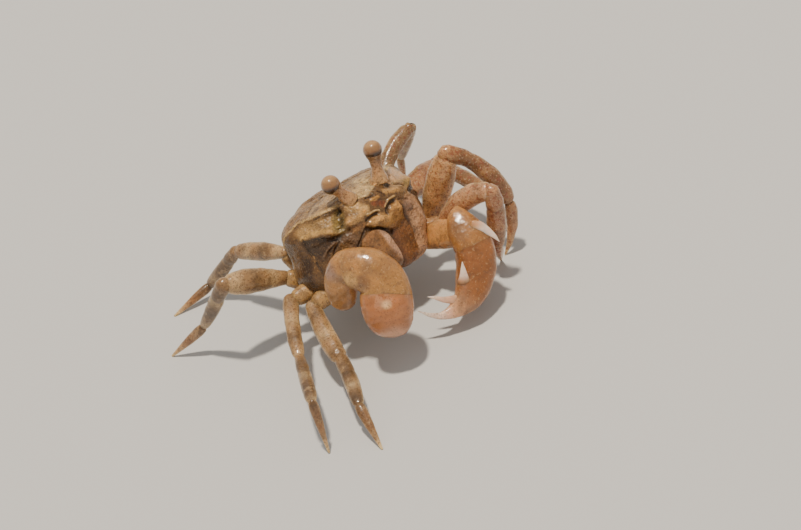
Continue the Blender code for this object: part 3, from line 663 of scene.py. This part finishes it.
# how each leg differs from its plain chain, as seen in millimetres: where its start, knee,
# wrist and foot go and how its merus, shank and dactyl bow, where they do, and half the width
# of each along it
legShapes = {
    "left": (
        dict(
            bows=((-0.16, 0.36), (0.05, 0), (0, 0)), merus=(0.34, 0.44, 0.44, 0.38), shank=(0.38, 0.4, 0.3),
            dactyl=(0.22, 0.18), tone=dict(merus=(0.8, 0.62, 0.5), shank=(0.68, 0.5, 0.39))),
        dict(
            start=(-0.14, -0.3), knee=(-0.04, -0.1), wrist=(0.36, 0.08), foot=(-0.3, 0),
            bows=((0.02, 0), (0.24, 0.34), (0.2, 0)), merus=(0.4, 0.56, 0.58, 0.47),
            shank=(0.34, 0.38, 0.34), dactyl=(0.24, 0.2),
            tone=dict(merus=(0.9, 0.7, 0.52), edge=(0.96, 0.8, 0.66), shank=(0.58, 0.43, 0.31))),
        dict(
            start=(-0.16, 0.2), merus=(0.36, 0.52, 0.5, 0.38), shank=(0.32, 0.32, 0.26), dactyl=(0.2, 0.16)),
        dict(
            start=(-0.1, 0.45), knee=(0.1, 0.22), wrist=(-0.12, 0), bows=((-0.34, 0.1), (0, 0), (0, 0)),
            merus=(0.26, 0.32, 0.33, 0.3), shank=(0.26, 0.24, 0.2), dactyl=(0.17, 0.13),
            tone=dict(merus=(0.58, 0.47, 0.35), shank=(0.66, 0.56, 0.43))),
    ),
    "right": (
        dict(
            start=(-0.52, -0.2), knee=(0.18, -0.14), wrist=(0, 0.12), foot=(-0.12, 0.1),
            bows=((-0.06, -0.1), (0.04, 0), (0, 0)), merus=(0.32, 0.37, 0.38, 0.34),
            shank=(0.31, 0.29, 0.25), dactyl=(0.21, 0.16)),
        dict(
            start=(-0.6, -0.12), bows=((-0.1, 0), (0, 0), (0, 0)), merus=(0.32, 0.29, 0.29, 0.25),
            shank=(0.26, 0.27, 0.24), dactyl=(0.19, 0.14)),
        dict(
            start=(-0.06, 0.1), knee=(0.12, -0.04), wrist=(0.12, 0), bows=((0, 0.06), (0.05, 0), (0, 0)),
            merus=(0.32, 0.46, 0.51, 0.4), shank=(0.31, 0.28, 0.22), dactyl=(0.2, 0.16)),
        dict(
            start=(0.1, 0.24), knee=(0.2, -0.02), wrist=(0.12, 0), bows=((0, 0.04), (0.06, 0), (0, 0)),
            merus=(0.28, 0.38, 0.37, 0.31), shank=(0.28, 0.29, 0.25), dactyl=(0.19, 0.15)),
    ),
}
legPaint = {
    "left": dict(
        root=(0.74, 0.57, 0.4), merus=(0.7, 0.51, 0.36), shank=(0.56, 0.42, 0.3), edge=(0.88, 0.72, 0.58),
        tip=(0.76, 0.58, 0.46), shell="rosyShell", bands=0.4),
    "right": dict(
        root=(0.74, 0.6, 0.42), merus=(0.67, 0.54, 0.41), shank=(0.48, 0.39, 0.31), edge=(0.86, 0.78, 0.66),
        tip=(0.62, 0.46, 0.33), shell="legShell", bands=0.9),
}
legForm = dict(depth=0.80, square=2.2, mottle=0.34, endHalf=0.04, footHeight=0.02,
               endColour=(0.90, 0.80, 0.66), merusAt=(-0.05, 0.12, 0.4, 0.68, 0.88, 0.98),
               shankAt=(0.02, 0.20, 0.36, 0.62, 0.85, 1.0), dactylAt=(-0.06, 0.12, 0.42, 0.75, 1.0))


def banded(shades, colour, first, many):
    # the colour along one part, with paler and darker bands across it
    darker = (colour[0] * 0.60, colour[1] * 0.62, colour[2] * 0.66)
    share = shades["bands"] * 0.6
    stops = []
    for k in range(many + 1):
        tone = (shades["edge"], colour, darker, colour)[(k + first) % 4]
        stops.append((k / many, tuple(c * (1 - share) + t * share for c, t in zip(colour, tone))))
    return tuple(stops)


def curve(p, q, bow, shares):
    # points from p to q, bowed sideways by the most at the middle
    return [p.lerp(q, t) + bow * (4 * t * (1 - t)) for t in shares]


def legChain(sideName, number):
    # hip, start of the merus, knee, wrist and foot, in the floor frame
    side = 1 if sideName == "left" else -1
    shape = legShapes[sideName][number]
    x, y, z = legs["hips"][number]
    hip = onFloor((x * side, y, z))
    rootLength, merusLength, shankLength, dactylLength = legs["lengths"][number]
    turnR, riseR, turnM, riseM, turnS, riseS, turnD = legs[sideName][number]
    start = hip + heading(side, turnR, riseR) * rootLength
    knee = start + heading(side, turnM, riseM) * merusLength
    wrist = knee + heading(side, turnS, riseS) * shankLength
    drop = math.degrees(math.asin(min(1.0, wrist.z / dactylLength)))
    foot = wrist + heading(side, turnD, -drop) * (wrist.z / math.sin(math.radians(drop)))
    ends = dict(start=start, knee=knee, wrist=wrist, foot=foot)
    start, knee, wrist, foot = (ends[key] + seen(*shape.get(key, (0, 0))) for key in ends)
    foot.z = legForm["footHeight"]
    return hip, start, knee, wrist, foot


def makeLeg(sideName, number):
    form, shape = legForm, legShapes[sideName][number]
    hip, start, knee, wrist, foot = legChain(sideName, number)
    bowM, bowS, bowD = (seen(*bow) for bow in shape.get("bows", ((0, 0),) * 3))
    shades = dict(legPaint[sideName], **shape.get("tone", {}))
    seed = number * 7 + (20 if sideName == "left" else 0)
    label = f"leg_{sideName}_{number + 1}"
    m0, m1, m2, m3 = shape["merus"]
    s0, s1, s2 = shape["shank"]
    d0, d1 = shape["dactyl"]

    def part(key, points, halves, colours, caps, size, crest, offset, rough=0.02):
        stations = tuple((p, w, w * form["depth"]) for p, w in zip(points, halves))
        piece = limb(f"{label}_{key}_shell", stations, back, colours, size, caps, seed + offset,
                     rough, crest, form["square"], form["mottle"])
        dress(piece, shades["shell"])
        return piece

    def finish(piece, key):
        finishPiece(piece, "limb_straw", f"{label}_{key}")

    root = part("root", [hip, hip.lerp(start, 0.5), start.lerp(knee, 0.05)],
                (m0 * 1.35, m0 * 1.45, m0 * 1.02), ((0, shades["root"]), (1, shades["root"])),
                (0.1, 0.2), (32, 30), 0.0, 0)
    merusLine = curve(start, knee, bowM, form["merusAt"])
    merus = part("merus", merusLine, (m0 * 0.8, m0, m1, m2, m3, m3 * 0.86),
                 banded(shades, shades["merus"], number, 7), (0.08, 0.10), (44, 64), 0.10, 1)
    join(merus, root)
    finish(merus, "merus")
    shankLine = curve(knee, wrist, bowS, form["shankAt"])
    elbow = merusLine[4]
    carpus = part("carpus", [elbow, knee.lerp(elbow, 0.2), *shankLine[1:3]],
                  (m3 * 0.66, m3 * 0.84, s0, s0 * 0.86),
                  ((0, shades["merus"]), (0.5, shades["shank"]), (1, shades["shank"])),
                  (0.14, 0.12), (36, 44), 0.06, 2)
    finish(carpus, "carpus")
    propodus = part("propodus", shankLine[1:], (s0 * 0.84, s0 * 0.98, s1, s2 * 1.04, s2 * 0.80),
                    banded(shades, shades["shank"], number + 1, 6), (0.06, 0.10), (36, 50), 0.10, 3)
    finish(propodus, "propodus")
    dactyl = part("dactyl", curve(wrist, foot, bowD, form["dactylAt"]),
                  (d0 * 0.84, d0 * 1.04, d1 * 1.1, d1 * 0.62, form["endHalf"]),
                  ((0, shades["shank"]), (0.5, shades["tip"]), (1, form["endColour"])),
                  (0.08, 0.02), (30, 44), 0.12, 4, 0.008)
    finish(dactyl, "dactyl")


for sideName in ("left", "right"):
    for number in range(4):
        makeLeg(sideName, number)
print("legs made")


# claws: middle lines in the floor frame, with half the height at each station; one long line
# runs through carpus and palm, and span says which share of it each takes
bigClaw = dict(
    seed=70, flat=0.84, slant=0.036, palmShell="palmShell", dactylShell="clawShell",
    merusLine="line", merusSpan=(0, 0.36), merusCaps=(0.16, 0.02), merusEdgeGlow=(0.88, 0.68, 0.48),
    carpusSpan=(0.34, 0.672), carpusCaps=(0.02, 0.002), palmSpan=(0.672, 1), palmCaps=(0.002, 0.16),
    shades=dict(merus=(0.72, 0.54, 0.36), carpus=(0.72, 0.54, 0.34), palm=(0.74, 0.5, 0.34),
                tip=(0.86, 0.68, 0.54)),
    root=(((-1.7, -1.9, 2.9), 0.45), ((-2.4, -2.5, 3.2), 0.45), ((-2.95, -2.95, 3.4), 0.36)),
    line=(((-3.24, -3.2, 2.58), 0.3), ((-3.17, -3.2, 2.9), 0.5), ((-3.1, -3.18, 3.35), 0.64),
          ((-3.02, -3.18, 3.8), 0.73), ((-2.8, -3.2, 4.15), 0.79), ((-2.6, -3.4, 4.45), 0.85),
          ((-2.4, -3.8, 4.5), 0.88), ((-2.2, -4.12, 4.42), 0.94), ((-2.05, -4.42, 4.2), 0.97),
          ((-2.0, -4.7, 3.9), 1.01), ((-2.1, -4.88, 3.55), 1.07), ((-2.28, -5.02, 3.2), 1.1),
          ((-2.4, -5.12, 2.8), 1.08), ((-2.5, -5.2, 2.3), 0.94), ((-2.6, -5.22, 1.9), 0.7),
          ((-2.7, -5.25, 1.65), 0.42)),
    web=(((-2.86, -3.54, 3.9), 0.38), ((-2.75, -3.7, 4.15), 0.49), ((-2.56, -3.93, 4.2), 0.5),
         ((-2.46, -4.2, 3.95), 0.42)),
    fixed=(((-2.7, -5.0, 1.95), 0.36), ((-2.5, -4.7, 1.6), 0.28), ((-2.2, -4.4, 1.4), 0.19),
           ((-1.8, -4.1, 1.25), 0.03)),
    moving=(((-2.3, -4.7, 1.95), 0.32), ((-2.2, -4.45, 1.75), 0.26), ((-1.9, -4.15, 1.6), 0.16),
            ((-1.6, -3.9, 1.45), 0.03)),
)
smallClaw = dict(
    seed=50, flat=0.66, slant=0, palmShell="clawShell", dactylShell="pearlShell",
    merusLine="merus", merusSpan=(0, 1), merusCaps=(0.16, 0.14), merusEdgeGlow=(0.90, 0.72, 0.52),
    carpusSpan=(0, 0.27), carpusCaps=(0.20, 0.0005), palmSpan=(0.27, 1), palmCaps=(0.0005, 0.01),
    shades=dict(merus=(0.8, 0.6, 0.4), carpus=(0.66, 0.47, 0.29), palm=(0.61, 0.4, 0.24),
                tip=(0.88, 0.7, 0.6)),
    root=(((1.5, -1.9, 2.4), 0.4), ((1.8, -2.2, 2.5), 0.44), ((2.1, -2.6, 2.6), 0.46)),
    merus=(((1.9, -2.3, 2.5), 0.44), ((2.15, -2.75, 2.65), 0.56), ((2.35, -3.4, 2.9), 0.64),
           ((2.6, -4.3, 3.15), 0.6)),
    line=(((3.05, -3.95, 4.15), 0.22), ((2.85, -4.2, 3.8), 0.54), ((2.72, -4.52, 3.45), 0.74),
          ((2.66, -4.9, 3.1), 0.82), ((2.6, -5.15, 2.75), 0.84), ((2.45, -5.3, 2.45), 0.86),
          ((2.25, -5.45, 2.1), 0.86), ((1.95, -5.55, 1.75), 0.82), ((1.55, -5.7, 1.45), 0.74),
          ((1.1, -5.8, 1.25), 0.6), ((0.65, -5.75, 1.1), 0.42), ((0.25, -5.65, 1.05), 0.27),
          ((-0.2, -5.5, 1.1), 0.15), ((-0.55, -5.25, 1.3), 0.09), ((-0.9, -4.95, 1.65), 0.01)),
    spine=(((2.8, -4.95, 3.8), 0.16), ((3.05, -5.25, 3.6), 0.22), ((3.2, -5.5, 3.35), 0.17),
           ((3.3, -5.75, 3.1), 0.1), ((3.35, -5.95, 2.85), 0.01)),
    tooth=(((1.55, -5.3, 1.5), 0.3), ((1.34, -5.56, 1.9), 0.3), ((1.33, -5.66, 2.26), 0.19),
           ((1.42, -5.62, 2.6), 0.1), ((1.52, -5.55, 2.88), 0.01)),
    moving=(((1.1, -5.75, 1.3), 0.32), ((0.75, -5.65, 1.4), 0.23), ((0.5, -5.5, 1.5), 0.17),
            ((0.25, -5.3, 1.6), 0.12), ((0.0, -5.1, 1.8), 0.07), ((-0.2, -4.9, 1.9), 0.01)),
)
# the pale edge colours of the claws' merus, carpus and palm are a painted glow of light through the thin
# shell at the edges seen side-on
clawForm = dict(square=2.5, mottle=0.24, pearl=(0.96, 0.87, 0.90), carpusEdgeGlow=(0.84, 0.60, 0.38),
                palmEdgeGlow=(0.86, 0.62, 0.42))


def makeClaw(sideName, claw):
    # the broad side of each part faces the view, so its height lies across that side
    form, shades, slant = clawForm, claw["shades"], claw["slant"]
    label, pearl = f"claw_{sideName}", form["pearl"]

    def part(key, line, shell, colours, caps, offset, size=(64, 72), rough=0.02, **more):
        stations = tuple((p, half, half * claw["flat"]) for p, half in claw[line])
        piece = limb(f"{label}_{key}_shell", stations, back, colours, size, caps,
                     claw["seed"] + offset, rough, square=form["square"], mottle=form["mottle"], **more)
        dress(piece, shell)
        return piece

    def even(key):
        return ((0, shades[key]), (1, shades[key]))

    root = part("root", "root", "clawShell", even("merus"), (0.2, 0.2), 1, (30, 26))
    merus = part("merus", claw["merusLine"], "clawShell", even("merus"), claw["merusCaps"], 0,
                 span=claw["merusSpan"], rim=claw["merusEdgeGlow"])
    join(merus, root)
    finishPiece(merus, "claw_peach", f"{label}_merus")
    carpus = part("carpus", "line", "clawShell",
                  ((0, shades["merus"]), (0.4, shades["carpus"]), (1, shades["carpus"])),
                  claw["carpusCaps"], 2, span=claw["carpusSpan"], rim=form["carpusEdgeGlow"],
                  oblique=(0, slant))
    colours = ((0, shades["palm"]), (0.45, shades["palm"]), (0.66, shades["tip"]), (0.8, pearl))
    palm = part("palm", "line", claw["palmShell"],
                even("palm") if sideName == "right" else colours, claw["palmCaps"], 2, (64, 110),
                span=claw["palmSpan"], rim=form["palmEdgeGlow"], oblique=(slant, 0))
    if sideName == "right":
        join(carpus, part("web", "web", "clawShell", even("carpus"), (0.3, 0.3), 8, (34, 30)))
        join(palm, part("fixed", "fixed", "palmShell", even("tip"), (0.06, 0.02), 4, (30, 44), 0.006))
    else:
        join(palm, part("tooth", "tooth", "pearlShell",
                        ((0.36, shades["palm"]), (0.5, shades["tip"]), (0.62, pearl)),
                        (0.08, 0.02), 6, (24, 26), 0.004))
        join(carpus, part("spine", "spine", "pearlShell",
                          ((0, shades["carpus"]), (0.2, shades["tip"]), (0.4, pearl)),
                          (0.08, 0.02), 7, (24, 26), 0.004))
    finishPiece(carpus, "claw_peach", f"{label}_carpus")
    finishPiece(palm, "claw_peach", f"{label}_palm")
    dactyl = part("dactyl", "moving", claw["dactylShell"],
                  ((0, shades["palm"]), (0.25, shades["tip"]), (1, pearl)), (0.06, 0.02), 5,
                  (30, 44), 0.006)
    finishPiece(dactyl, "claw_peach", f"{label}_dactyl")
    return merus, carpus, palm


makeClaw("left", smallClaw)
merus, carpus, palm = makeClaw("right", bigClaw)
for piece in (merus, carpus):
    spot(piece, (-2.97, -4.1, 4.47), 0.34, (0.98, 0.76, 0.44))
    spot(piece, (-3.2, -3.1, 4.55), 0.40, (0.60, 0.50, 0.46), 0.8)
    spot(piece, (-2.65, -3.7, 4.95), 0.22, (0.58, 0.46, 0.36), 0.5)
spot(carpus, (-2.95, -4.75, 4.5), 0.34, (0.46, 0.33, 0.24), 0.6)
spot(carpus, (-1.7, -4.9, 4.6), 0.45, (0.54, 0.38, 0.26), 0.45)
spot(palm, (-2.82, -5.76, 3.68), 0.22, (1.0, 0.84, 0.62), 1.0)
spot(palm, (-2.9, -5.9, 2.1), 0.5, (0.90, 0.72, 0.60), 0.5)
print("claws made")


eyes = dict(radius=0.41, centres={"left": (1.35, -2.61, 2.19), "right": (-1.15, -2.53, 1.92)},
            bases={"left": (25, 18), "right": (-14.5, 19)}, sunk=-0.10,
            stalk=((0, (0.72, 0.58, 0.42)), (0.25, (0.76, 0.60, 0.45)), (0.6, (0.74, 0.57, 0.44)),
                   (1, (0.58, 0.45, 0.35))),
            base=(0.60, 0.46, 0.34), highlightCrown=(0.72, 0.58, 0.44), under=(0.46, 0.33, 0.24),
            band=(0.22, 0.14, 0.12))


def makeEye(sideName):
    foot = onBody(*eyes["bases"][sideName], eyes["sunk"])
    centre = onFloor(eyes["centres"][sideName])
    axis = (centre - foot).normalized()
    size = eyes["radius"]
    line = ((foot - axis * 0.1, 0.40), (foot + axis * 0.12, 0.37), (foot + axis * 0.36, 0.29),
            (foot.lerp(centre, 0.50), 0.23), (foot.lerp(centre, 0.72), 0.27),
            (centre - axis * size * 0.5, 0.36), (centre, 0.37))
    stalk = limb(f"eyestalk_{sideName}_skin", tuple((p, half, half) for p, half in line),
                 axis.cross(Vector((0, 1, 0))), eyes["stalk"], (34, 48), (0.05, 0.2), 90, 0.025)
    dress(stalk, "legShell")
    finishPiece(stalk, "stalk_pink", f"eyestalk_{sideName}")
    ball, polar, around = ballRows(f"eye_{sideName}_ball", 48, 40)
    level = np.sin(polar * math.pi)
    local = np.stack((level * np.cos(around), level * np.sin(around), np.cos(polar * math.pi)), axis=1)
    points = np.array(centre) + local * size
    # the crown turned toward the sun is painted lighter, a painted highlight; the ball grows darker towards
    # the side opposite the crown
    highlightCrown = (seen(-0.35, 0.9) + back * 0.25).normalized()
    height = local @ np.array(highlightCrown) + clouds(points, (0.05, 6.0, 95))
    tint = evenTint(eyes["base"], points)
    tint = blend(tint, eyes["highlightCrown"], smooth(height, 0.35, 0.8))
    tint = blend(tint, eyes["under"], smooth(-height, -0.12, 0.14) * 0.9)
    tint = blend(tint, eyes["band"], smooth(-height, 0.06, 0.34))
    lay(ball, points, tint, floorToRow)
    dress(ball, "eyeSkin")
    finishPiece(ball, "eye_dark", f"eye_{sideName}")


for sideName in ("left", "right"):
    makeEye(sideName)
print("eyes made")


# plates that lie on the body: an outline of (bearing, elevation) round a middle, how high the
# rim stands and how far the middle domes out, the colour inside and towards one edge
plates = {
    "maxilliped_right": dict(
        middle=(-9, -34), rim=0.1, dome=0.3, slot="mouth_brown", outline=((-27, -16), (-23, -12),
        (-18, -9.6), (-10, -12.7), (-1.6, -19.7), (4, -28.6), (7, -40), (6, -52), (-2, -60), (-14, -60),
        (-24, -48), (-29, -30)), inside=(0.58, 0.42, 0.28), edge=(0.88, 0.72, 0.66), toward=(0.9, 0.35),
        shade=(0.44, 0.37, 0.24)),
    "maxilliped_left": dict(
        middle=(19, -43), rim=0.0, dome=0.12, slot="mouth_brown", outline=((6, -30), (11, -24), (19, -22),
        (26, -25), (31, -34), (32, -48), (29, -62), (20, -70), (11, -66), (7, -48)),
        inside=(0.52, 0.34, 0.19), edge=(0.68, 0.48, 0.31), toward=(0.8, -0.2), shade=(0.38, 0.23, 0.12)),
    "antenna_right": dict(
        middle=(-35.5, 6.5), rim=-0.2, dome=0.08, slot="stalk_pink",
        outline=((-37.5, 9), (-35.5, 10.5), (-33.6, 8), (-33.4, 4), (-35, 2), (-37, 3)),
        inside=(0.5, 0.42, 0.23), edge=(0.64, 0.54, 0.32), toward=(-1, 0), shade=(0.34, 0.28, 0.14)),
    "antenna_left": dict(
        middle=(39.5, 6.5), rim=-0.2, dome=0.08, slot="stalk_pink",
        outline=((41.5, 9), (39.5, 10.5), (37.6, 8), (37.4, 4), (39, 2), (41, 3)), inside=(0.6, 0.48, 0.34),
        edge=(0.7, 0.58, 0.44), toward=(1, 0), shade=(0.42, 0.33, 0.22)),
}
plateForm = dict(size=(72, 60), under=0.12, soften=0.2, groove=(0.20, 0.11, 0.06),
                 mottle=((0.34, 2.2, 140), (0.3, 8.0, 141)))


def makePlate(name, plate):
    form = plateForm
    piece, polar, around = ballRows(f"{name}_plate", *form["size"])
    b0, e0 = plate["middle"]
    corners = sorted((math.atan2(e - e0, b - b0), math.hypot(b - b0, e - e0)) for b, e in plate["outline"])
    turns, sizes = ([corner[i] for corner in corners] for i in (0, 1))

    def radius(shift):
        turn = (around + shift + math.pi) % (2 * math.pi) - math.pi
        return np.interp(turn, turns, sizes, period=2 * math.pi)

    size = (radius(-form["soften"]) + 2 * radius(0) + radius(form["soften"])) / 4
    out = np.sin(polar * math.pi)
    height = np.cos(polar * math.pi)
    wb, we = warp(b0 + np.cos(around) * out * size, e0 + np.sin(around) * out * size)
    lift = plate["rim"] + np.where(height > 0, plate["dome"] * (1 - out ** 2.4), form["under"] * height)
    points = spherical(wb, we, bodyRadius(wb, we) + lift)
    ux, uy = plate["toward"]
    lean = (np.cos(around) * ux + np.sin(around) * uy) * out
    tint = evenTint(plate["inside"], points)
    tint = blend(tint, plate["shade"], smooth(-lean, 0.1, 0.8))
    tint = blend(tint, plate["edge"], smooth(lean, 0.25, 0.6))
    tint = blend(tint, form["groove"], 0.8 * smooth(out, 0.97, 1.0))
    lay(piece, points, mottled(tint, points, *form["mottle"]), bodyToRow)
    dress(piece, "faceShell")
    finishPiece(piece, plate["slot"], name)


for name, plate in plates.items():
    makePlate(name, plate)
print("mouthparts made")

dress(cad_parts["abdomen"], "plainShell")

# floor, light and camera
sunlight = dict(energy=3.6, softness=4, colour=(1.0, 0.89, 0.73), back=0.62, above=0.78, right=-0.22)
bpy.ops.object.select_all(action="DESELECT")
bpy.ops.mesh.primitive_plane_add(size=0.6)
floor = bpy.context.object
floor.name = "floor"
pale = bpy.data.materials.new("paleFloor")
pale.use_nodes = True
feed(pale.node_tree, pale.node_tree.nodes["Principled BSDF"],
     {"Base Color": (0.60, 0.60, 0.60, 1), "Roughness": 0.8})
floor.data.materials.append(pale)

target = onFloor(view["aimAt"])
eyePoint = target + back * view["distance"]
aimed = (eyePoint - (target + right * view["across"] - up * view["down"])).normalized()
xAxis = tilted.cross(aimed).normalized()
yAxis = aimed.cross(xAxis)
camera = bpy.data.objects.new("camera", bpy.data.cameras.new("camera"))
bpy.context.scene.collection.objects.link(camera)
camera.data.lens = view["lens"]
camera.data.clip_start = 0.001
camera.data.clip_end = 5
turned = Matrix((xAxis, yAxis, aimed)).transposed().to_4x4()
camera.matrix_world = Matrix.Translation(floorToRow @ eyePoint) @ turned
bpy.context.scene.camera = camera

sun = bpy.data.objects.new("key", bpy.data.lights.new("key", "SUN"))
sun.data.energy = sunlight["energy"]
sun.data.angle = math.radians(sunlight["softness"])
sun.data.color = sunlight["colour"]
toLight = back * sunlight["back"] + tilted * sunlight["above"] + right * sunlight["right"]
sun.rotation_euler = toLight.to_track_quat("Z", "Y").to_euler()
bpy.context.scene.collection.objects.link(sun)
world = bpy.data.worlds.new("studio")
world.use_nodes = True
feed(world.node_tree, world.node_tree.nodes["Background"],
     {"Color": (1.0, 0.96, 0.90, 1), "Strength": 0.5})
bpy.context.scene.world = world
